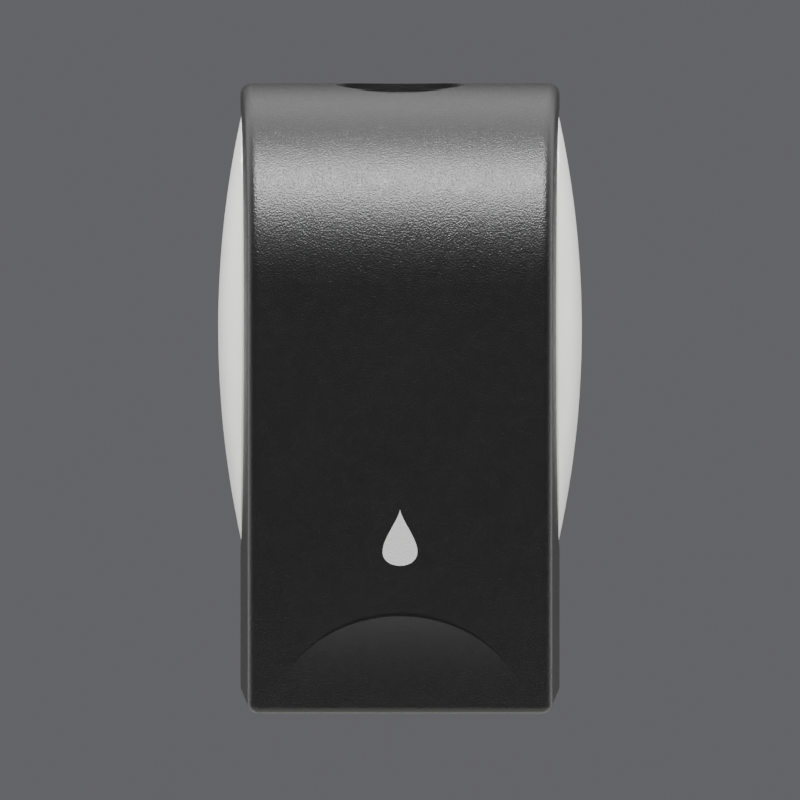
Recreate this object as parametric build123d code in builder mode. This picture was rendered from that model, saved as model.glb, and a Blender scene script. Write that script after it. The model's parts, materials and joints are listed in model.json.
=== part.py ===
"""Wall mounted automatic soap dispenser, millimetres.

+Z is up and the front faces -Y. The wall is the plane y = 0, and the origin is the centre of the
wall-screw pattern on that plane. The front cover hinges forward and down about its rear lower edge.
"""
import os
from math import acos, cos, pi, radians, sin, sqrt, tan

from build123d import *

os.makedirs("parts", exist_ok=True)

# ---------------------------------------------------------------- driving dimensions
TOP = 149.0                # half the height of the dispenser
DEPTH = 102.0              # wall to front face
HALF_REAR = 77.8           # cover half width at the wall plane
HALF_FRONT = 70.0          # cover half width at the front face
COVER_WALL = 2.5
COVER_REAR = -2.0          # rear edge of the cover, just off the wall
BROW_R = 100.0             # the large arc from the top to the front face
HINGE_Y, HINGE_Z = -14.0, -137.0
EAR_R = 12.0               # rounding of the cover's rear lower corners about the hinge
PIN_R = 2.5

PANEL_Z = 30.0             # centre height of the side panels
PANEL_HALF_HEIGHT = 105.5
PANEL_REACH = 44.0         # how far the panels come forward
PANEL_REAR = -1.0
PANEL_PEAK = 88.3          # widest half width
PANEL_PROFILE_R = 480.0    # bulge seen from the front
PANEL_PLAN_R = 71.0        # bulge seen from above
PANEL_WALL = 2.2
PANEL_GAP = 0.7

SCREW_X, SCREW_Z = 60.0, 100.0   # wall screws stand at plus and minus these
SCREW_HOLE_R = 2.5

PUMP_Y = -52.0             # axis of bottle neck, pump and nozzle
STROKE = 8.0               # pump stroke
GEAR_Z = -100.0            # height of the gear axles
GUIDE_X, GUIDE_Y = 19.0, -36.0   # guide rods of the carriage
GUIDE_R = 1.5
CRADLE_LOW, CRADLE_TOP = -81.0, -78.1
RUNNING = 0.05             # radial clearance of every shaft that turns or slides in a hole
MODULE_RACK = 1.0
PINION_TEETH = 16
MODULE_MOTOR = 0.8
WHEEL_TEETH = 40
MOTOR_TEETH = 10
BACKLASH = 0.30
PINION_R = MODULE_RACK * PINION_TEETH / 2
WHEEL_R = MODULE_MOTOR * WHEEL_TEETH / 2
MOTOR_PINION_R = MODULE_MOTOR * MOTOR_TEETH / 2
MOTOR_X = -(WHEEL_R + MOTOR_PINION_R)

CELL_R, CELL_LENGTH = 17.1, 61.5   # D cell
CELL_PITCH = 35.2
CELL_Y = -27.0


def cover_half_width(y):
    """Outer half width of the drafted cover at depth y."""
    return HALF_REAR + (HALF_REAR - HALF_FRONT) / DEPTH * y


def block(x, y, z, mode=Mode.ADD):
    """Box between two limits on each axis, in the part being built."""
    with Locations(((x[0] + x[1]) / 2, (y[0] + y[1]) / 2, (z[0] + z[1]) / 2)):
        Box(x[1] - x[0], y[1] - y[0], z[1] - z[0], mode=mode)


def cylinder_z(centre, radius, low, high, mode=Mode.ADD):
    """Upright cylinder about (x, y)."""
    with Locations((centre[0], centre[1], (low + high) / 2)):
        Cylinder(radius, high - low, mode=mode)


def cylinder_y(centre, radius, front, rear, mode=Mode.ADD):
    """Cylinder along Y about (x, z)."""
    with Locations((centre[0], (front + rear) / 2, centre[1])):
        Cylinder(radius, rear - front, rotation=(90, 0, 0), mode=mode)


def coil_turns(centre, coil_r, wire_r, low, high, turns):
    """Compression spring about (x, y) whose wire centre runs from low to high."""
    with BuildLine(mode=Mode.PRIVATE) as line:
        Helix((high - low) / turns, high - low, coil_r, center=(centre[0], centre[1], low))
    path = line.wire()
    with BuildSketch(Plane(origin=path @ 0, z_dir=path % 0), mode=Mode.PRIVATE) as wire:
        Circle(wire_r)
    add(sweep(wire.sketch, path=path, is_frenet=True, mode=Mode.PRIVATE))


def save(piece, name):
    """Label a finished sub-part and write it."""
    piece.part.label = name
    export_step(piece.part, f"parts/{name}.step")


# ---------------------------------------------------------------- front cover
def brow_profile(inset, rear, low):
    """Side view of the cover, inset from its outside: rear edge, big arc, front face and bottom."""
    radius = BROW_R - inset
    front = -DEPTH + inset
    centre_z = TOP - BROW_R
    centre_y = -DEPTH + BROW_R
    middle = (centre_y - radius * sin(pi / 4), centre_z + radius * cos(pi / 4))
    with BuildSketch(Plane.YZ) as sketch:
        with BuildLine():
            Line((rear, low), (rear, centre_z + radius))
            if rear > centre_y:
                Line((rear, centre_z + radius), (centre_y, centre_z + radius))
            ThreePointArc((centre_y, centre_z + radius), middle, (front, centre_z))
            Line((front, centre_z), (front, low))
            Line((front, low), (rear, low))
        make_face()
    return sketch.sketch


def plan_profile(inset):
    """Drafted plan section of the cover, inset from its outside."""
    rear, front = 10.0, -DEPTH - 10.0
    with BuildSketch(Plane.XY.offset(-TOP - 20)) as sketch:
        with BuildLine():
            Polyline(
                (cover_half_width(rear) - inset, rear),
                (cover_half_width(front) - inset, front),
                (-cover_half_width(front) + inset, front),
                (-cover_half_width(rear) + inset, rear),
                close=True,
            )
        make_face()
    return sketch.sketch


LIP_REAR = -84.0           # the chin lip closes the bottom from the front face to here

with BuildPart() as cover_cavity:
    extrude(brow_profile(COVER_WALL, 4.0, -TOP + COVER_WALL), amount=90, both=True)
    extrude(plan_profile(COVER_WALL), amount=2 * TOP + 40, mode=Mode.INTERSECT)
    with BuildSketch(Plane.XY.offset(-TOP - 5)):
        with BuildLine():
            Polyline(
                (cover_half_width(5) - COVER_WALL, 5),
                (cover_half_width(LIP_REAR) - COVER_WALL, LIP_REAR),
                (-cover_half_width(LIP_REAR) + COVER_WALL, LIP_REAR),
                (-cover_half_width(5) + COVER_WALL, 5),
                close=True,
            )
        make_face()
    extrude(amount=12)

SCOOP_R = 63.1             # half-moon scoop in the lower front
SCOOP_APEX = -102.4
SCOOP_FOOT = -144.0
SCOOP_DEPTH = 1.0

with BuildPart() as scoop:
    with BuildSketch(Plane.YZ):
        with BuildLine():
            ThreePointArc(
                (-DEPTH, SCOOP_FOOT),
                (-DEPTH + 0.22 * SCOOP_DEPTH, (SCOOP_FOOT + SCOOP_APEX) / 2),
                (-DEPTH + SCOOP_DEPTH, SCOOP_APEX),
            )
            Polyline(
                (-DEPTH + SCOOP_DEPTH, SCOOP_APEX),
                (-DEPTH + SCOOP_DEPTH, SCOOP_APEX + 4),
                (-DEPTH - 3, SCOOP_APEX + 4),
                (-DEPTH - 3, SCOOP_FOOT),
                (-DEPTH, SCOOP_FOOT),
            )
        make_face()
    extrude(amount=SCOOP_R, both=True)
    with BuildSketch(Plane.XZ.offset(DEPTH - 10)):
        with Locations((0, SCOOP_APEX - SCOOP_R)):
            Circle(SCOOP_R)
    extrude(amount=20, mode=Mode.INTERSECT)

BUTTON_Y = -21.0
WELL_A, WELL_B = 31.0, 15.5        # oval well in the top, half sizes
WELL_FLOOR = 138.5
WELL_FLOOR_WALL = 2.0
STEM_R = 3.0
BUTTON_TRAVEL = 3.0

with BuildPart() as front_cover:
    extrude(brow_profile(0.0, COVER_REAR, -TOP), amount=90, both=True)
    extrude(plan_profile(0.0), amount=2 * TOP + 40, mode=Mode.INTERSECT)
    flanks = front_cover.faces().filter_by(lambda f: abs(f.normal_at().X) > 0.9)
    long_edges = flanks.edges().filter_by(lambda e: e.center().Y < COVER_REAR - 1)
    fillet(long_edges, radius=5.0)
    toe = front_cover.edges().filter_by(Axis.X).filter_by(
        lambda e: e.center().Z < -TOP + 1 and e.center().Y < -DEPTH + 1
    )
    fillet(toe, radius=3.0)
    add(cover_cavity.part, mode=Mode.SUBTRACT)
    # backing behind the scoop
    with BuildSketch(Plane.XZ.offset(DEPTH - COVER_WALL - 2.5)):
        with Locations((0, (SCOOP_APEX + 3 - TOP + 1) / 2)):
            Rectangle(128, SCOOP_APEX + 3 + TOP - 1)
    extrude(amount=3.5)
    add(scoop.part, mode=Mode.SUBTRACT)
    # oval well for the latch button
    with BuildSketch(Plane.XY.offset(WELL_FLOOR - WELL_FLOOR_WALL)):
        with Locations((0, BUTTON_Y)):
            Ellipse(WELL_A + 2, WELL_B + 2)
    extrude(amount=7.0)
    with BuildSketch(Plane.XY.offset(WELL_FLOOR)):
        with Locations((0, BUTTON_Y)):
            Ellipse(WELL_A, WELL_B)
    extrude(amount=20, mode=Mode.SUBTRACT)
    with Locations(Plane.XY.offset(WELL_FLOOR) * Pos(0, BUTTON_Y, 0)):
        Hole(STEM_R + RUNNING, depth=6)
    # catch rib that the latch leaf snaps behind
    with BuildSketch(Plane.YZ):
        with BuildLine():
            Polyline((-36, 141), (-33, 141), (-33, 135.0), (-34.5, 133.5), (-36, 135.0), close=True)
        make_face()
    extrude(amount=9, both=True)
    # hinge bosses inside the two side walls
    for side in (-1, 1):
        with BuildSketch(Plane.YZ.offset(side * 70.0)):
            with Locations((HINGE_Y, HINGE_Z)):
                Circle(6.5)
        extrude(amount=side * 5.4)
        with BuildSketch(Plane.YZ.offset(side * 69.0)):
            with Locations((HINGE_Y, HINGE_Z)):
                Circle(PIN_R + RUNNING)
        extrude(amount=side * 6.2, mode=Mode.SUBTRACT)
    # rounded rear lower corners
    with BuildSketch(Plane.YZ):
        with BuildLine():
            Polyline((COVER_REAR + 1, -TOP - 1), (HINGE_Y, -TOP - 1), (HINGE_Y, -TOP))
            ThreePointArc(
                (HINGE_Y, -TOP),
                (HINGE_Y + EAR_R * cos(pi / 4), HINGE_Z - EAR_R * sin(pi / 4)),
                (HINGE_Y + EAR_R, HINGE_Z),
            )
            Polyline(
                (HINGE_Y + EAR_R, HINGE_Z), (COVER_REAR + 1, HINGE_Z), (COVER_REAR + 1, -TOP - 1)
            )
        make_face()
    extrude(amount=90, both=True, mode=Mode.SUBTRACT)
    # cut-outs for the side panels
    for side in (-1, 1):
        with BuildSketch(Plane.YZ.offset(side * 66.0)):
            with Locations((PANEL_REAR, PANEL_Z)):
                Ellipse(PANEL_REACH + PANEL_GAP, PANEL_HALF_HEIGHT + PANEL_GAP)
        extrude(amount=side * 30, mode=Mode.SUBTRACT)

save(front_cover, "front_cover")

# ---------------------------------------------------------------- latch button in the cover's top
CAP_A, CAP_B = 27.0, 12.0
CAP_BOTTOM = WELL_FLOOR + BUTTON_TRAVEL + 0.6
CAP_TOP = 143.5
STEM_LOW = 135.8

with BuildPart() as latch_button:
    with BuildSketch(Plane.XY.offset(CAP_BOTTOM)):
        with Locations((0, BUTTON_Y)):
            Ellipse(CAP_A, CAP_B)
    extrude(amount=CAP_TOP - CAP_BOTTOM)
    fillet(latch_button.edges().group_by(Axis.Z)[-1], radius=0.8)
    cylinder_z((0, BUTTON_Y), STEM_R, STEM_LOW, CAP_BOTTOM)
save(latch_button, "latch_button")

with BuildPart() as button_spring:
    coil_turns((0, BUTTON_Y), 4.6, 0.3, WELL_FLOOR + 0.35, CAP_BOTTOM - 0.35, 2.5)
save(button_spring, "button_spring")

# ---------------------------------------------------------------- side panels
PROFILE_X = PANEL_PEAK - PANEL_PROFILE_R
PLAN_X = PANEL_PEAK - PANEL_PLAN_R
PLAN_Y = -4.0


def bulge(inset):
    """Solid of revolution about a vertical axis whose flank is the panel's bulge, on the +X side."""
    half = PANEL_HALF_HEIGHT + 6
    radius = PANEL_PROFILE_R - inset
    edge = PROFILE_X + sqrt(radius**2 - half**2) - PLAN_X
    peak = PANEL_PEAK - inset - PLAN_X
    with BuildPart() as solid:
        with BuildSketch(Plane.XZ):
            with BuildLine():
                Line((0, PANEL_Z - half), (edge, PANEL_Z - half))
                ThreePointArc((edge, PANEL_Z - half), (peak, PANEL_Z), (edge, PANEL_Z + half))
                Line((edge, PANEL_Z + half), (0, PANEL_Z + half))
                Line((0, PANEL_Z + half), (0, PANEL_Z - half))
            make_face()
        revolve(axis=Axis.Z)
    return Pos(PLAN_X, PLAN_Y, 0) * solid.part


TAB_ZS = (-35.0, 30.0, 95.0)
TAB_FRONT, TAB_REAR = -5.6, -3.2
TAB_SCREW_X = 69.0
TAB_HALF = 9.0

with BuildPart() as right_panel:
    add(bulge(0.0))
    with BuildSketch(Plane.YZ.offset(50)):
        with Locations((PANEL_REAR, PANEL_Z)):
            Ellipse(PANEL_REACH, PANEL_HALF_HEIGHT)
    extrude(amount=60, mode=Mode.INTERSECT)
    add(bulge(PANEL_WALL), mode=Mode.SUBTRACT)
    block((40, 100), (PANEL_REAR, 60), (-TOP, TOP), mode=Mode.SUBTRACT)
    for z in TAB_ZS:
        reach = abs(z - PANEL_Z) + TAB_HALF
        skin = PROFILE_X + sqrt(PANEL_PROFILE_R**2 - reach**2)
        block((66.5, skin - 1.0), (TAB_FRONT, TAB_REAR), (z - TAB_HALF, z + TAB_HALF))
        cylinder_y((TAB_SCREW_X, z), 1.6, TAB_FRONT - 1, TAB_REAR + 1, mode=Mode.SUBTRACT)
save(right_panel, "right_panel")

with BuildPart() as left_panel:
    add(right_panel.part)
    mirror(about=Plane.YZ, mode=Mode.REPLACE)
save(left_panel, "left_panel")

with BuildPart() as panel_screws:
    for side in (-1, 1):
        for z in TAB_ZS:
            cylinder_y((side * TAB_SCREW_X, z), 2.4, TAB_FRONT - 1.8, TAB_FRONT)
            cylinder_y((side * TAB_SCREW_X, z), 1.45, TAB_FRONT, -0.6)
            cylinder_y((side * TAB_SCREW_X, z), 0.8, TAB_FRONT - 2, TAB_FRONT - 0.9, mode=Mode.SUBTRACT)
save(panel_screws, "panel_screws")

# ---------------------------------------------------------------- wall plate
PLATE_HALF = 72.0
PLATE_FRONT = -3.2
LUG_X = (60.5, 69.2)
WING_HALF = 98.0


def wing_edge(height):
    """Half width of the plate's wings, just inside the side panels."""
    return PROFILE_X + sqrt((PANEL_PROFILE_R - PANEL_WALL - 0.6) ** 2 - height**2)


with BuildPart() as wall_plate:
    block((-PLATE_HALF, PLATE_HALF), (PLATE_FRONT, 0), (-146, 143))
    fillet(wall_plate.edges().filter_by(Axis.Y), radius=6)
    # wings that close the back of the side panels
    with BuildSketch(Plane.XZ):
        for side in (-1, 1):
            with BuildLine():
                ThreePointArc(
                    (side * wing_edge(WING_HALF), PANEL_Z - WING_HALF),
                    (side * wing_edge(0), PANEL_Z),
                    (side * wing_edge(WING_HALF), PANEL_Z + WING_HALF),
                )
                Polyline(
                    (side * wing_edge(WING_HALF), PANEL_Z + WING_HALF), (side * 60, PANEL_Z + WING_HALF),
                    (side * 60, PANEL_Z - WING_HALF), (side * wing_edge(WING_HALF), PANEL_Z - WING_HALF),
                )
            make_face()
    extrude(amount=-PLATE_FRONT)
    # stiffening rim above the battery box and an upright rib each side of it
    block((-60, 60), (-9, PLATE_FRONT), (129.0, 130.6))
    block((-64, -62), (-7, PLATE_FRONT), (-76, 60))
    block((62, 64), (-7, PLATE_FRONT), (-76, 60))
    # hinge lugs
    for side in (-1, 1):
        with BuildSketch(Plane.YZ.offset(side * LUG_X[0])):
            with Locations((HINGE_Y, HINGE_Z)):
                Circle(7.0)
            with Locations(((HINGE_Y + PLATE_FRONT) / 2, HINGE_Z)):
                Rectangle(PLATE_FRONT - HINGE_Y, 14.0)
        extrude(amount=side * (LUG_X[1] - LUG_X[0]))
        with BuildSketch(Plane.YZ.offset(side * (LUG_X[0] - 1))):
            with Locations((HINGE_Y, HINGE_Z)):
                Circle(PIN_R)
        extrude(amount=side * 12, mode=Mode.SUBTRACT)
        for z in TAB_ZS:
            cylinder_y((side * TAB_SCREW_X, z), 1.45, PLATE_FRONT - 1, -0.6, mode=Mode.SUBTRACT)
        for z in (-SCREW_Z, SCREW_Z):
            cylinder_y((side * SCREW_X, z), SCREW_HOLE_R, PLATE_FRONT - 1, 1, mode=Mode.SUBTRACT)
save(wall_plate, "wall_plate")

with BuildPart() as hinge_pins:
    for side in (-1, 1):
        with BuildSketch(Plane.YZ.offset(side * (LUG_X[0] - 0.8))):
            with Locations((HINGE_Y, HINGE_Z)):
                Circle(PIN_R)
        extrude(amount=side * (74.6 - LUG_X[0] + 0.8))
save(hinge_pins, "hinge_pins")

# the latch leaf: a bent strip of spring steel under the cover's catch rib
with BuildPart() as latch_leaf:
    with BuildSketch(Plane.YZ):
        with BuildLine():
            Polyline((-3.6, 136.2), (-3.6, 132.0), (-30.0, 132.0), (-34.5, 132.4), (-38.0, 130.5))
        trace(line_width=0.8)
    extrude(amount=7, both=True)
save(latch_leaf, "latch_leaf")

# ---------------------------------------------------------------- battery box
BOX_X = 1.5 * CELL_PITCH + 2.6
BOX_Y = (-46.0, PLATE_FRONT)
BOX_Z = (58.0, 128.0)
BOX_WALL = 2.0
CELL_LOW = BOX_Z[0] + BOX_WALL + 2.0
CELL_XS = [(i - 1) * CELL_PITCH for i in range(3)]

with BuildPart() as battery_box:
    block((-BOX_X, BOX_X), BOX_Y, BOX_Z)
    fillet(battery_box.edges().filter_by(Axis.Y), radius=2.5)
    block((-BOX_X + BOX_WALL, BOX_X - BOX_WALL), (BOX_Y[0] - 1, BOX_Y[1] - BOX_WALL),
          (BOX_Z[0] + BOX_WALL, BOX_Z[1] - BOX_WALL), mode=Mode.SUBTRACT)
    for x in (-CELL_PITCH / 2, CELL_PITCH / 2):
        block((x - 0.4, x + 0.4), (-14, BOX_Y[1] - 1), (BOX_Z[0] + 1, BOX_Z[1] - 1))
save(battery_box, "battery_box")

with BuildPart() as battery_cells:
    for x in CELL_XS:
        cylinder_z((x, CELL_Y), CELL_R, CELL_LOW, CELL_LOW + CELL_LENGTH - 2)
        cylinder_z((x, CELL_Y), 4.75, CELL_LOW + CELL_LENGTH - 2, CELL_LOW + CELL_LENGTH)
save(battery_cells, "battery_cells")

with BuildPart() as battery_contacts:
    for x in CELL_XS:
        for z in (BOX_Z[0] + BOX_WALL, CELL_LOW + CELL_LENGTH):
            block((x - 8, x + 8), (CELL_Y - 7, CELL_Y + 7), (z, z + 0.4))
save(battery_contacts, "battery_contacts")

with BuildPart() as contact_springs:
    for x in CELL_XS:
        coil_turns((x, CELL_Y), 4.5, 0.35, BOX_Z[0] + BOX_WALL + 0.8, CELL_LOW - 0.4, 1.0)
save(contact_springs, "contact_springs")

with BuildPart() as battery_door:
    block((-BOX_X, BOX_X), (BOX_Y[0] - 2.2, BOX_Y[0]), BOX_Z)
    fillet(battery_door.edges().filter_by(Axis.Y), radius=2.5)
    for i in range(6):
        z = BOX_Z[1] - 8 - 3 * i
        block((-14, 14), (BOX_Y[0] - 3.2, BOX_Y[0] - 2.2), (z - 0.6, z + 0.6))
    block((-8, 8), (BOX_Y[0], BOX_Y[0] + 5), (BOX_Z[1] - BOX_WALL - 1.4, BOX_Z[1] - BOX_WALL))
save(battery_door, "battery_door")

# ---------------------------------------------------------------- refill and pump
BOTTLE_X = 56.0
BOTTLE_Y = (-92.0, -12.0)
BOTTLE_Z = (-58.0, 50.0)
BOTTLE_WALL = 1.4
BOTTLE_ROUND = 14.0

with BuildPart() as refill_bottle:
    block((-BOTTLE_X, BOTTLE_X), BOTTLE_Y, BOTTLE_Z)
    fillet(refill_bottle.edges().filter_by(Axis.Z), radius=BOTTLE_ROUND)
    fillet(refill_bottle.edges().group_by(Axis.Z)[-1], radius=8)
    fillet(refill_bottle.edges().group_by(Axis.Z)[0], radius=8)
    cylinder_z((0, PUMP_Y), 18.0, -76.0, BOTTLE_Z[0] + 1)
    bottle_inside = offset(amount=-BOTTLE_WALL, mode=Mode.PRIVATE)
    add(bottle_inside, mode=Mode.SUBTRACT)
    cylinder_z((0, PUMP_Y), 16.6, -77.0, -74.0, mode=Mode.SUBTRACT)
save(refill_bottle, "refill_bottle")

with BuildPart() as liquid_soap:
    block((-BOTTLE_X, BOTTLE_X), BOTTLE_Y, (BOTTLE_Z[0], BOTTLE_Z[1] - 22))
    fillet(liquid_soap.edges().filter_by(Axis.Z), radius=BOTTLE_ROUND)
    fillet(liquid_soap.edges().group_by(Axis.Z)[0], radius=8)
    offset(amount=-BOTTLE_WALL - 0.1, mode=Mode.REPLACE)
save(liquid_soap, "liquid_soap")

PUMP_R, PUMP_BORE = 8.5, 7.0
PUMP_LOW, PUMP_HIGH = -110.0, -66.0

with BuildPart() as pump_collar:
    cylinder_z((0, PUMP_Y), 21.0, -78.0, -62.0)
    for i in range(36):
        a = 2 * pi * i / 36
        cylinder_z((21.0 * cos(a), PUMP_Y + 21.0 * sin(a)), 0.6, -77.0, -63.5)
    cylinder_z((0, PUMP_Y), 18.05, -76.0, -61.0, mode=Mode.SUBTRACT)
    cylinder_z((0, PUMP_Y), PUMP_R, -79.0, -60.0, mode=Mode.SUBTRACT)
save(pump_collar, "pump_collar")

with BuildPart() as pump_cylinder:
    cylinder_z((0, PUMP_Y), PUMP_R, PUMP_LOW, PUMP_HIGH)
    cylinder_z((0, PUMP_Y), 16.5, -75.9, -73.9)
    cylinder_z((0, PUMP_Y), PUMP_BORE, PUMP_LOW + 2, PUMP_HIGH - 4, mode=Mode.SUBTRACT)
    cylinder_z((0, PUMP_Y), 2.0, PUMP_HIGH - 5, PUMP_HIGH + 1, mode=Mode.SUBTRACT)
    cylinder_z((0, PUMP_Y), 4.05, PUMP_LOW - 1, PUMP_LOW + 3, mode=Mode.SUBTRACT)
save(pump_cylinder, "pump_cylinder")

with BuildPart() as check_ball:
    with Locations((0, PUMP_Y, PUMP_HIGH - 4 - 3.1)):
        Sphere(3.0)
save(check_ball, "check_ball")

PLATE_TOP = -121.0         # top of the carriage's lifting plate at rest
FLANGE_R = 12.0
NOZZLE_TIP = -141.5

with BuildPart() as pump_plunger:
    cylinder_z((0, PUMP_Y), 6.95, -98.0, -93.0)
    cylinder_z((0, PUMP_Y), 4.0, -126.0, -93.0)
    cylinder_z((0, PUMP_Y), FLANGE_R, PLATE_TOP, PLATE_TOP + 1.6)
    cylinder_z((0, PUMP_Y), 1.5, -127.0, -92.0, mode=Mode.SUBTRACT)
save(pump_plunger, "pump_plunger")

with BuildPart() as nozzle_tip:
    with BuildSketch(Plane.XZ.offset(-PUMP_Y)):
        with BuildLine():
            Polyline((1.5, -126.0), (4.0, -126.0), (5.5, -129.0), (5.5, -133.0), (3.2, NOZZLE_TIP),
                     (1.5, NOZZLE_TIP), close=True)
        make_face()
    revolve(axis=Axis((0, PUMP_Y, 0), (0, 0, 1)))
save(nozzle_tip, "nozzle_tip")

with BuildPart() as pump_spring:
    coil_turns((0, PUMP_Y), 10.4, 0.6, PLATE_TOP + 2.3, -78.8, 8)
save(pump_spring, "pump_spring")

# ---------------------------------------------------------------- refill cradle
with BuildPart() as refill_cradle:
    block((-58, 58), (-86, PLATE_FRONT), (CRADLE_LOW, CRADLE_TOP))
    fillet(refill_cradle.edges().filter_by(Axis.Z).group_by(Axis.Y)[0], radius=12)
    cylinder_z((0, PUMP_Y), 14.0, -90.0, -70.0, mode=Mode.SUBTRACT)
    block((-14, 14), (-100, PUMP_Y), (-90.0, -70.0), mode=Mode.SUBTRACT)
    for side in (-1, 1):
        x = sorted((side * 50, side * 53))
        block(x, (-80, PLATE_FRONT), (CRADLE_TOP, -59.0))
    block((-50, 50), (PLATE_FRONT - 3, PLATE_FRONT), (CRADLE_LOW, -59.0))
    for side in (-1, 1):
        cylinder_z((side * GUIDE_X, GUIDE_Y), GUIDE_R, CRADLE_LOW - 1, CRADLE_LOW + 1.5, mode=Mode.SUBTRACT)
save(refill_cradle, "refill_cradle")

# ---------------------------------------------------------------- drive
def involute_tooth(teeth, module, base_points=5):
    """Flank points of one tooth about +X: radius and half angle, thinned by the backlash."""
    pressure = radians(20)
    pitch = module * teeth / 2
    base = pitch * cos(pressure)
    tip = pitch + 0.9 * module
    low = max(base, pitch - module)
    half_pitch_angle = pi / (2 * teeth) - BACKLASH / (2 * pitch)
    at_pitch = tan(pressure) - pressure
    flank = []
    for i in range(base_points):
        radius = low + (tip - low) * i / (base_points - 1)
        angle = acos(min(1.0, base / radius))
        flank.append((radius, half_pitch_angle + at_pitch - (tan(angle) - angle)))
    return flank


def gear_sketch(teeth, module, centre, phase, bore):
    """Spur gear in the XZ plane at y = 0; phase turns the first tooth from +X towards +Z."""
    root = module * (teeth / 2 - 1.2)
    flank = involute_tooth(teeth, module)
    inner = root * 0.9
    with BuildSketch(Plane.XZ) as sketch:
        with Locations(centre):
            Circle(root)
            with PolarLocations(0, teeth, start_angle=phase):
                right = [(r * cos(-a), r * sin(-a)) for r, a in flank]
                left = [(r * cos(a), r * sin(a)) for r, a in reversed(flank)]
                foot = flank[0][1]
                Polygon((inner * cos(foot), -inner * sin(foot)), *right, *left,
                        (inner * cos(foot), inner * sin(foot)), align=None)
            if bore:
                Circle(bore, mode=Mode.SUBTRACT)
    return sketch.sketch


AXLE_R = 1.5
WHEEL_Y = (-28.0, -24.0)
PINION_Y = (-38.0, -28.0)

with BuildPart() as drive_gear:
    wheel = gear_sketch(WHEEL_TEETH, MODULE_MOTOR, (0, GEAR_Z), 0, AXLE_R + RUNNING)
    pinion = gear_sketch(PINION_TEETH, MODULE_RACK, (0, GEAR_Z), 0, AXLE_R + RUNNING)
    extrude(Pos(0, WHEEL_Y[1], 0) * wheel, amount=WHEEL_Y[1] - WHEEL_Y[0])
    extrude(Pos(0, PINION_Y[1], 0) * pinion, amount=PINION_Y[1] - PINION_Y[0])
save(drive_gear, "drive_gear")

with BuildPart() as motor_pinion:
    small = gear_sketch(MOTOR_TEETH, MODULE_MOTOR, (MOTOR_X, GEAR_Z), 180 / MOTOR_TEETH, 0)
    extrude(Pos(0, WHEEL_Y[1], 0) * small, amount=WHEEL_Y[1] - WHEEL_Y[0])
    cylinder_y((MOTOR_X, GEAR_Z), 1.0, -24.0, -14.0)
save(motor_pinion, "motor_pinion")

with BuildPart() as gear_axle:
    cylinder_y((0, GEAR_Z), AXLE_R, -40.0, -5.0)
save(gear_axle, "gear_axle")

with BuildPart() as drive_motor:
    cylinder_y((MOTOR_X, GEAR_Z), 10.0, -22.0, -7.0)
    cylinder_y((MOTOR_X, GEAR_Z), 3.0, -23.0, -22.0)
    cylinder_y((MOTOR_X, GEAR_Z), 1.05, -24.0, -13.0, mode=Mode.SUBTRACT)
save(drive_motor, "drive_motor")

DRIVE_X, DRIVE_Z = (-33.0, 19.0), (-120.0, -81.0)

with BuildPart() as drive_housing:
    block(DRIVE_X, (-29.0, PLATE_FRONT), DRIVE_Z)
    block((DRIVE_X[0] + 1.8, DRIVE_X[1] - 1.0), (-30.0, -6.5), (-118.2, -82.0), mode=Mode.SUBTRACT)
    cylinder_y((0, GEAR_Z), 4.0, -22.0, -5.0)
    cylinder_y((0, GEAR_Z), AXLE_R, -30.0, -5.0, mode=Mode.SUBTRACT)
save(drive_housing, "drive_housing")

with BuildPart() as drive_cover:
    block(DRIVE_X, (-30.6, -29.0), DRIVE_Z)
    cylinder_y((0, GEAR_Z), 10.0, -31.0, -28.0, mode=Mode.SUBTRACT)
save(drive_cover, "drive_cover")

RACK_PITCH_X = PINION_R
RACK_Y = (-37.5, -31.2)
RACK_Z = (-122.0, CRADLE_LOW - STROKE - 0.5)
RACK_TIP, RACK_ROOT = 0.9, 1.4     # tooth height each side of the pitch line
tooth_pitch = pi * MODULE_RACK

with BuildPart() as carriage:
    block((-23, 23), (-66, -30.9), (-124.0, PLATE_TOP))
    cylinder_z((0, PUMP_Y), 4.2, -130, -118, mode=Mode.SUBTRACT)
    block((-4.2, 4.2), (-70, PUMP_Y), (-130, -118), mode=Mode.SUBTRACT)
    block((RACK_PITCH_X + 1.2, RACK_PITCH_X + 5), RACK_Y, RACK_Z)
    for i in range(-7, 3):
        z = GEAR_Z + (i + 0.5) * tooth_pitch
        half = tooth_pitch / 4 - BACKLASH / 2
        slope = tan(radians(20))
        with BuildSketch(Plane.XZ.offset(-RACK_Y[1])):
            with BuildLine():
                Polyline(
                    (RACK_PITCH_X - RACK_TIP, z - half + RACK_TIP * slope),
                    (RACK_PITCH_X + RACK_ROOT, z - half - RACK_ROOT * slope),
                    (RACK_PITCH_X + RACK_ROOT, z + half + RACK_ROOT * slope),
                    (RACK_PITCH_X - RACK_TIP, z + half - RACK_TIP * slope),
                    close=True,
                )
            make_face()
        extrude(amount=RACK_Y[1] - RACK_Y[0])
    for side in (-1, 1):
        cylinder_z((side * GUIDE_X, GUIDE_Y), GUIDE_R + RUNNING, -126, -118, mode=Mode.SUBTRACT)
save(carriage, "carriage")

GUIDE_LOW = -127.5

with BuildPart() as guide_rods:
    for side in (-1, 1):
        cylinder_z((side * GUIDE_X, GUIDE_Y), GUIDE_R, GUIDE_LOW, CRADLE_LOW + 1.5)
save(guide_rods, "guide_rods")

# ---------------------------------------------------------------- electronics
POD_WALL = 1.6
POD_X, POD_Y, POD_Z = (24.0, 57.0), (-33.0, PLATE_FRONT), (-124.0, -82.0)

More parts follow.
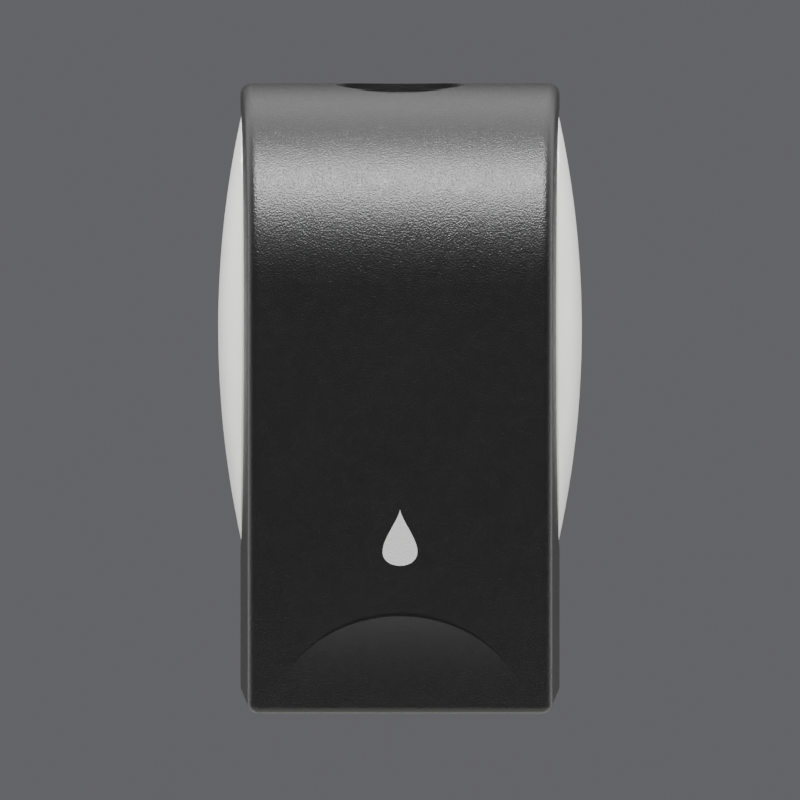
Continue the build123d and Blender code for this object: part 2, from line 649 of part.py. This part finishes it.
with BuildPart() as electronics_box:
    block(POD_X, POD_Y, POD_Z)
    fillet(electronics_box.edges().filter_by(Axis.Y), radius=2)
    block(
        (POD_X[0] + POD_WALL, POD_X[1] - POD_WALL),
        (POD_Y[0] + 1.8, POD_Y[1] - POD_WALL),
        (POD_Z[0] + POD_WALL, POD_Z[1] - POD_WALL),
        mode=Mode.SUBTRACT,
    )
    cylinder_y((32.0, -92.0), 4.1, -34, -30, mode=Mode.SUBTRACT)
    block((42.0, 54.0), (-34, -30), (-94.0, -90.0), mode=Mode.SUBTRACT)
save(electronics_box, "electronics_box")

with BuildPart() as control_board:
    block((POD_X[0] + 1.7, POD_X[1] - 1.7), (-24.6, -23.0), (POD_Z[0] + 3, POD_Z[1] - 3))
    block((38, 48), (-26.2, -24.6), (-112, -102))
    block((28, 32), (-26.0, -24.6), (-108, -104))
    block((30, 40), (-23.0, -17.0), (-118, -112))
    cylinder_y((50, -116), 3.0, -31.0, -24.6)
save(control_board, "control_board")

with BuildPart() as power_button:
    cylinder_y((32.0, -92.0), 4.0, -34.6, -27.5)
    cylinder_y((32.0, -92.0), 5.0, -31.0, -29.6)
save(power_button, "power_button")

with BuildPart() as dose_switch:
    block((45.6, 50.4), (-34.4, -31.1), (-93.9, -90.1))
    block((43.8, 52.2), (-31.1, -29.8), (-95.0, -89.0))
save(dose_switch, "dose_switch")

with BuildPart() as battery_lead:
    with BuildLine():
        lead = FilletPolyline((BOX_X, -14.0, 64.0), (61.5, -14.0, 64.0), (61.5, -14.0, -84.0),
                              (POD_X[1], -14.0, -84.0), radius=2.0)
    with BuildSketch(Plane(origin=(BOX_X, -14.0, 64.0), z_dir=(1, 0, 0))):
        Circle(1.1)
    sweep(path=lead.wire())
save(battery_lead, "battery_lead")

# ---------------------------------------------------------------- lower housing and sensor
HOUSE_FRONT, HOUSE_LOW, HOUSE_HIGH = -83.0, -147.0, -127.5
OUTLET_R = 10.0
SENSOR_Y = -73.0

with BuildPart() as lower_housing:
    block((-66, 66), (HOUSE_FRONT, -26), (HOUSE_LOW, HOUSE_HIGH))
    fillet(lower_housing.edges().filter_by(Axis.Z), radius=4)
    block((-57, 57), (-30, PLATE_FRONT), (HOUSE_LOW, HOUSE_HIGH))
    block((-64, 64), (HOUSE_FRONT + 2, -28), (HOUSE_LOW + 2, HOUSE_HIGH + 1), mode=Mode.SUBTRACT)
    block((-55, 55), (-30, PLATE_FRONT - 2), (HOUSE_LOW + 2, HOUSE_HIGH + 1), mode=Mode.SUBTRACT)
    cylinder_z((0, PUMP_Y), OUTLET_R + 1.6, HOUSE_LOW, -142.5)
    cylinder_z((0, PUMP_Y), OUTLET_R, HOUSE_LOW - 1, -140, mode=Mode.SUBTRACT)
    block((-13, 13), (SENSOR_Y - 5, SENSOR_Y + 5), (HOUSE_LOW - 1, HOUSE_LOW + 3), mode=Mode.SUBTRACT)
    cylinder_z((22.0, SENSOR_Y), 2.0, HOUSE_LOW - 1, HOUSE_LOW + 3, mode=Mode.SUBTRACT)
    for side in (-1, 1):
        cylinder_z((side * GUIDE_X, GUIDE_Y), 3.2, HOUSE_LOW + 1, -126.0)
        cylinder_z((side * GUIDE_X, GUIDE_Y), GUIDE_R, GUIDE_LOW, -125.0, mode=Mode.SUBTRACT)
save(lower_housing, "lower_housing")

with BuildPart() as sensor_window:
    block((-13, 13), (SENSOR_Y - 5, SENSOR_Y + 5), (HOUSE_LOW, HOUSE_LOW + 2))
    block((-14.5, 14.5), (SENSOR_Y - 6, SENSOR_Y + 6), (HOUSE_LOW + 2, HOUSE_LOW + 3))
save(sensor_window, "sensor_window")

with BuildPart() as sensor_leds:
    for x in (-8, 8):
        cylinder_z((x, SENSOR_Y), 2.5, HOUSE_LOW + 4.0, HOUSE_LOW + 8.0)
        with Locations((x, SENSOR_Y, HOUSE_LOW + 5.6)):
            Sphere(2.5)
save(sensor_leds, "sensor_leds")

with BuildPart() as sensor_board:
    block((-15, 26), (SENSOR_Y - 6.5, SENSOR_Y + 6.5), (HOUSE_LOW + 8.1, HOUSE_LOW + 9.7))
save(sensor_board, "sensor_board")

with BuildPart() as status_light:
    cylinder_z((22.0, SENSOR_Y), 2.0, HOUSE_LOW, HOUSE_LOW + 8.1)
    cylinder_z((22.0, SENSOR_Y), 3.0, HOUSE_LOW + 2, HOUSE_LOW + 3)
save(status_light, "status_light")
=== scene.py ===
"""Looks of the wall mounted soap dispenser: materials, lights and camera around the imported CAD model."""
import json
from math import radians

import bpy
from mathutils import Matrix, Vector


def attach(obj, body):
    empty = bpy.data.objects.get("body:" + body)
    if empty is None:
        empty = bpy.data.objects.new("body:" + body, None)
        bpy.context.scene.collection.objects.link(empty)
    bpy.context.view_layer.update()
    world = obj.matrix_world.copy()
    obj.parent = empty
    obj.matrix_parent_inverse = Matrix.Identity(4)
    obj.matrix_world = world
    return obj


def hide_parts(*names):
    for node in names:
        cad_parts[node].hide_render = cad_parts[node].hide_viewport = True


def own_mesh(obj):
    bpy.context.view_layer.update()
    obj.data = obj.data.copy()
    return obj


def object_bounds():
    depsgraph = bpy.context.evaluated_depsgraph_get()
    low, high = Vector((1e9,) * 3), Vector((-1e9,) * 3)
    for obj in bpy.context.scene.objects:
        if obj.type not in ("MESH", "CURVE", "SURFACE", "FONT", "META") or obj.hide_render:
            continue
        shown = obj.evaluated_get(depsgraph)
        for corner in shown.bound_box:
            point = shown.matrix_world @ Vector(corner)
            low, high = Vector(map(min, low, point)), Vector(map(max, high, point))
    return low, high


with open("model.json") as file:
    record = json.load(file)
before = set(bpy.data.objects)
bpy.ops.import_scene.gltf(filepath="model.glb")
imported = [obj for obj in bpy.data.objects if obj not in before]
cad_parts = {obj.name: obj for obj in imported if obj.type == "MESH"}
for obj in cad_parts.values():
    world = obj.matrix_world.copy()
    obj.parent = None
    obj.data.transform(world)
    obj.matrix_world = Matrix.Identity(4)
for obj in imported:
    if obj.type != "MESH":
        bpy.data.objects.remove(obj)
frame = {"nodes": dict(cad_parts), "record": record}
cad_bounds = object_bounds()
MM = 0.001

# ---------------------------------------------------------------- camera
CAMERA_DISTANCE = 1.8      # from the wall plane
EYE_HEIGHT = -0.0048
LENS, SENSOR = 166.2, 36.0

camera_data = bpy.data.cameras.new("camera")
camera_data.lens = LENS
camera_data.sensor_width = SENSOR
camera = bpy.data.objects.new("camera", camera_data)
camera.location = (0.0, -CAMERA_DISTANCE, EYE_HEIGHT)
camera.rotation_euler = (radians(90), 0, 0)
bpy.context.scene.collection.objects.link(camera)
bpy.context.scene.camera = camera


# ---------------------------------------------------------------- node helpers
class Shader:
    """A material with a Principled shader, and short calls for the nodes that feed it."""

    def __init__(self, name, color, roughness, metallic=0.0):
        self.material = bpy.data.materials.new(name)
        self.material.use_nodes = True
        self.tree = self.material.node_tree
        self.surface = self.tree.nodes["Principled BSDF"]
        self.set("Base Color", (*color, 1.0))
        self.set("Roughness", roughness)
        self.set("Metallic", metallic)
        self.place = self.tree.nodes.new("ShaderNodeTexCoord").outputs["Object"]

    def set(self, socket, value):
        self.surface.inputs[socket].default_value = value

    def link(self, output, target):
        self.tree.links.new(output, target)

    def stretch(self, scale):
        """Object coordinates scaled per axis."""
        node = self.tree.nodes.new("ShaderNodeMapping")
        node.inputs["Scale"].default_value = scale
        self.link(self.place, node.inputs["Vector"])
        return node.outputs["Vector"]

    def noise(self, size_mm, detail=3.0, vector=None):
        """Noise whose features are about size_mm across."""
        node = self.tree.nodes.new("ShaderNodeTexNoise")
        node.inputs["Scale"].default_value = 1.0 / (size_mm * MM)
        node.inputs["Detail"].default_value = detail
        self.link(vector or self.place, node.inputs["Vector"])
        return node.outputs["Fac"]

    def spread(self, value, low, high):
        """A 0 to 1 value mapped to low to high."""
        node = self.tree.nodes.new("ShaderNodeMapRange")
        node.inputs["From Min"].default_value = 0.3
        node.inputs["From Max"].default_value = 0.7
        node.inputs["To Min"].default_value = low
        node.inputs["To Max"].default_value = high
        self.link(value, node.inputs["Value"])
        return node.outputs["Result"]

    def math(self, operation, first, second=None):
        node = self.tree.nodes.new("ShaderNodeMath")
        node.operation = operation
        for socket, value in zip(node.inputs, (first, second)):
            if value is None:
                continue
            if isinstance(value, (int, float)):
                socket.default_value = value
            else:
                self.link(value, socket)
        return node.outputs[0]

    def mix(self, factor, first, second):
        """Colour mix of two colours, either of them an output or an (r, g, b)."""
        node = self.tree.nodes.new("ShaderNodeMix")
        node.data_type = "RGBA"
        self.link(factor, node.inputs["Factor"])
        for socket, value in ((node.inputs[6], first), (node.inputs[7], second)):
            if isinstance(value, tuple):
                socket.default_value = (*value, 1.0)
            else:
                self.link(value, socket)
        return node.outputs[2]

    def bump(self, height, depth_mm):
        """Adds a bump on top of any that the shader already has."""
        node = self.tree.nodes.new("ShaderNodeBump")
        node.inputs["Distance"].default_value = depth_mm * MM
        self.link(height, node.inputs["Height"])
        normal = self.surface.inputs["Normal"]
        if normal.links:
            self.link(normal.links[0].from_socket, node.inputs["Normal"])
        self.link(node.outputs["Normal"], normal)


# ---------------------------------------------------------------- materials
def moulded(name, color, roughness, grain_mm=0.9, grain_depth=0.03):
    """Moulded plastic: fine grain, a slow roughness change and slight colour variation."""
    shader = Shader(name, color, roughness)
    shader.bump(shader.noise(grain_mm), grain_depth)
    shader.link(shader.spread(shader.noise(14), roughness - 0.05, roughness + 0.05),
                shader.surface.inputs["Roughness"])
    darker = tuple(0.9 * c for c in color)
    shader.link(shader.mix(shader.noise(25), color, darker), shader.surface.inputs["Base Color"])
    return shader


PRINT_LOW, PRINT_HEIGHT, PRINT_HALF = -81.0, 26.0, 8.0   # droplet on the cover's front, mm
PRINT_SHAPE = 9.48         # makes the droplet's widest half width equal PRINT_HALF
PRINT_BEHIND = -101.5      # only the front face, forward of this depth, is printed
PRINT_GREY = (0.42, 0.42, 0.42)


def droplet_mask(shader):
    """1 inside a water drop on the front face, else 0."""
    parts = shader.tree.nodes.new("ShaderNodeSeparateXYZ")
    shader.link(shader.place, parts.inputs[0])
    x = shader.math("DIVIDE", parts.outputs["X"], PRINT_HALF * MM)
    rise = shader.math("SUBTRACT", parts.outputs["Z"], PRINT_LOW * MM)
    t = shader.math("DIVIDE", rise, PRINT_HEIGHT * MM)
    left = shader.math("SUBTRACT", 1.0, t)
    cube = shader.math("MULTIPLY", shader.math("MULTIPLY", left, left), left)
    limit = shader.math("MULTIPLY", shader.math("MULTIPLY", t, cube), PRINT_SHAPE)
    inside = shader.math("LESS_THAN", shader.math("MULTIPLY", x, x), limit)
    front = shader.math("LESS_THAN", parts.outputs["Y"], PRINT_BEHIND * MM)
    return shader.math("MULTIPLY", inside, front)


SCOOP_RADIUS, SCOOP_TOP, SCOOP_FOOT = 63.1, -102.4, -144.0   # half-moon in the cover's lower front, mm
SCOOP_BEHIND = -100.5      # the scoop's face lies forward of this depth
# Painted light: a lighter grey on the scoop's face, strongest at its top, standing in for the light its
# tilted face catches.
SCOOP_PAINTED_LIGHT = (0.022, 0.022, 0.022)


def scoop_painted_light_mask(shader):
    """Painted light: 1 at the top of the scoop's face, where its tilted face would catch light, falling to
    0 at its foot and outside it.
    """
    parts = shader.tree.nodes.new("ShaderNodeSeparateXYZ")
    shader.link(shader.place, parts.inputs[0])
    x = parts.outputs["X"]
    rise = shader.math("SUBTRACT", parts.outputs["Z"], (SCOOP_TOP - SCOOP_RADIUS) * MM)
    away = shader.math("ADD", shader.math("MULTIPLY", x, x), shader.math("MULTIPLY", rise, rise))
    inside = shader.math("LESS_THAN", away, (SCOOP_RADIUS * MM) ** 2)
    front = shader.math("LESS_THAN", parts.outputs["Y"], SCOOP_BEHIND * MM)
    height = shader.math("SUBTRACT", parts.outputs["Z"], SCOOP_FOOT * MM)
    t = shader.math("MAXIMUM", shader.math("DIVIDE", height, (SCOOP_TOP - SCOOP_FOOT) * MM), 0.0)
    return shader.math("MULTIPLY", shader.math("MULTIPLY", inside, front), shader.math("MULTIPLY", t, t))


def black_cover():
    shader = Shader("black_cover", (0.008, 0.008, 0.008), 0.36)
    shader.set("Specular IOR Level", 0.36)
    shader.bump(shader.noise(0.75, detail=1.0), 0.22)
    printed = droplet_mask(shader)
    moulding = shader.mix(shader.noise(30), (0.0055, 0.0055, 0.0058), (0.0070, 0.0070, 0.0073))
    # painted light on the scoop's face, lighter at its top and fading towards its foot
    painted_scoop_light = shader.mix(scoop_painted_light_mask(shader), moulding, SCOOP_PAINTED_LIGHT)
    shader.link(shader.mix(printed, painted_scoop_light, PRINT_GREY), shader.surface.inputs["Base Color"])
    shader.link(shader.spread(shader.noise(4), 0.34, 0.38), shader.surface.inputs["Roughness"])
    return shader


def white_panel():
    shader = moulded("white_panel", (0.84, 0.84, 0.825), 0.36, grain_mm=1.4, grain_depth=0.008)
    shader.set("Subsurface Weight", 0.25)
    shader.set("Subsurface Radius", (0.004, 0.004, 0.0035))
    shader.set("Coat Weight", 0.15)
    return shader


def clear_plastic(name, color, transmission, roughness):
    shader = moulded(name, color, roughness, grain_mm=3, grain_depth=0.02)
    shader.set("Transmission Weight", transmission)
    return shader


def metal(name, color, roughness, lay=(1, 1, 40)):
    """Drawn or cut metal with fine marks along one direction."""
    shader = Shader(name, color, roughness, metallic=1.0)
    marks = shader.noise(1.5, vector=shader.stretch(lay))
    shader.bump(marks, 0.01)
    worn = shader.spread(marks, roughness - 0.08, roughness + 0.1)
    shader.link(worn, shader.surface.inputs["Roughness"])
    return shader


def circuit_board():
    """Solder mask, lighter where copper lies under it."""
    shader = moulded("board_green", (0.01, 0.11, 0.04), 0.3, grain_mm=2, grain_depth=0.02)
    tracks = shader.math("GREATER_THAN", shader.noise(2.0, detail=0.0), 0.52)
    mask_green = shader.mix(tracks, (0.008, 0.08, 0.03), (0.02, 0.16, 0.06))
    shader.link(mask_green, shader.surface.inputs["Base Color"])
    return shader


looks = {
    "black_cover": black_cover(),
    "white_panel": white_panel(),
    "grey_plastic": moulded("grey_plastic", (0.34, 0.35, 0.36), 0.5),
    "dark_plastic": moulded("dark_plastic", (0.02, 0.02, 0.021), 0.45),
    "natural_plastic": moulded("natural_plastic", (0.78, 0.77, 0.72), 0.42, grain_depth=0.015),
    "bottle_plastic": clear_plastic("bottle_plastic", (0.93, 0.95, 0.97), 0.92, 0.2),
    "soap": clear_plastic("soap", (0.88, 0.30, 0.50), 0.45, 0.08),
    "steel": metal("steel", (0.62, 0.62, 0.63), 0.3),
    "brass_gear": metal("brass_gear", (0.78, 0.58, 0.25), 0.3, lay=(40, 1, 1)),
    "board_green": circuit_board(),
    "cell_wrap": moulded("cell_wrap", (0.03, 0.03, 0.035), 0.25, grain_mm=6, grain_depth=0.04),
    "lead_rubber": moulded("lead_rubber", (0.02, 0.02, 0.02), 0.6),
    "sensor_tint": moulded("sensor_tint", (0.02, 0.003, 0.006), 0.08, grain_mm=5, grain_depth=0.004),
    "button_red": moulded("button_red", (0.5, 0.02, 0.02), 0.35),
}

for part in frame["record"]["subparts"]:
    shape = frame["nodes"][part["node"]]
    shape.data.materials.clear()
    shape.data.materials.append(looks[part["material_slot"]].material)


def compressing(node, body):
    """A copy of a CAD spring, attached to the given body and shown in place of the CAD spring, which is
    hidden.
    """
    spring = bpy.data.objects.new(node + "_coil", frame["nodes"][node].data.copy())
    bpy.context.scene.collection.objects.link(spring)
    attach(spring, body)
    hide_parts(node)
    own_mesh(spring)


compressing("pump_spring", "chassis")
compressing("button_spring", "cover")


# ---------------------------------------------------------------- lights
def softbox(name, place, aim, size, power):
    """Rectangular area light at place, turned towards aim."""
    data = bpy.data.lights.new(name, "AREA")
    data.shape = "RECTANGLE"
    data.size, data.size_y = size
    data.energy = power
    light = bpy.data.objects.new(name, data)
    light.location = place
    light.rotation_euler = (Vector(aim) - Vector(place)).to_track_quat("-Z", "Y").to_euler()
    bpy.context.scene.collection.objects.link(light)


softbox("key_above", (0.0, -0.80, 1.35), (0, -0.05, 0.05), (1.1, 0.20), 86)
softbox("top_fill", (0.0, 0.45, 1.2), (0, -0.05, 0.1), (1.2, 0.4), 2)

# White studio surroundings, brightest beside and a little behind the object and dark straight behind it,
# where its sides mirror them. The camera sees a mid grey backdrop.
STUDIO_FRONT, STUDIO_BESIDE, STUDIO_BEHIND = 0.04, 2.5, 0.03
BESIDE_RISE = (-0.5, 0.45)     # the direction's Y over which it brightens towards the sides
BEHIND_FALL = (0.60, 0.86)     # and over which it darkens towards straight behind
BACKDROP = (0.13, 0.13, 0.13 * 1.07)

world = bpy.data.worlds.new("studio")
world.use_nodes = True
nodes, links = world.node_tree.nodes, world.node_tree.links
surroundings = nodes["Background"]
direction = nodes.new("ShaderNodeTexCoord")
axes = nodes.new("ShaderNodeSeparateXYZ")
links.new(direction.outputs["Generated"], axes.inputs[0])


def along_y(start, end, low, high):
    """Strength that goes smoothly from low to high between two values of the direction's Y."""
    node = nodes.new("ShaderNodeMapRange")
    node.interpolation_type = "SMOOTHSTEP"
    for socket, value in (("From Min", start), ("From Max", end), ("To Min", low), ("To Max", high)):
        node.inputs[socket].default_value = value
    links.new(axes.outputs["Y"], node.inputs["Value"])
    return node.outputs["Result"]


strength = nodes.new("ShaderNodeMath")
strength.operation = "MULTIPLY"
links.new(along_y(*BESIDE_RISE, STUDIO_FRONT, STUDIO_BESIDE), strength.inputs[0])
links.new(along_y(*BEHIND_FALL, 1.0, STUDIO_BEHIND / STUDIO_BESIDE), strength.inputs[1])
links.new(strength.outputs[0], surroundings.inputs["Strength"])
surroundings.inputs["Color"].default_value = (1.0, 1.0, 1.0, 1.0)
backdrop = nodes.new("ShaderNodeBackground")
backdrop.inputs["Color"].default_value = (*BACKDROP, 1.0)
path = nodes.new("ShaderNodeLightPath")
choice = nodes.new("ShaderNodeMixShader")
links.new(path.outputs["Is Camera Ray"], choice.inputs["Fac"])
links.new(surroundings.outputs[0], choice.inputs[1])
links.new(backdrop.outputs[0], choice.inputs[2])
links.new(choice.outputs[0], nodes["World Output"].inputs["Surface"])
bpy.context.scene.world = world

# ---------------------------------------------------------------- floor
FLOOR_DROP = 0.3           # the dispenser hangs on a wall, this far above the floor here
FLOOR_HALF = 0.9

floor_z = cad_bounds[0][2] - FLOOR_DROP
floor_mesh = bpy.data.meshes.new("floor")
corners = [(x * FLOOR_HALF, y * FLOOR_HALF, floor_z) for x, y in ((-1, -1), (1, -1), (1, 1), (-1, 1))]
floor_mesh.from_pydata(corners, [], [(0, 1, 2, 3)])
floor_mesh.materials.append(Shader("floor", (0.62, 0.62, 0.60), 0.7).material)
floor = bpy.data.objects.new("floor", floor_mesh)
bpy.context.scene.collection.objects.link(floor)
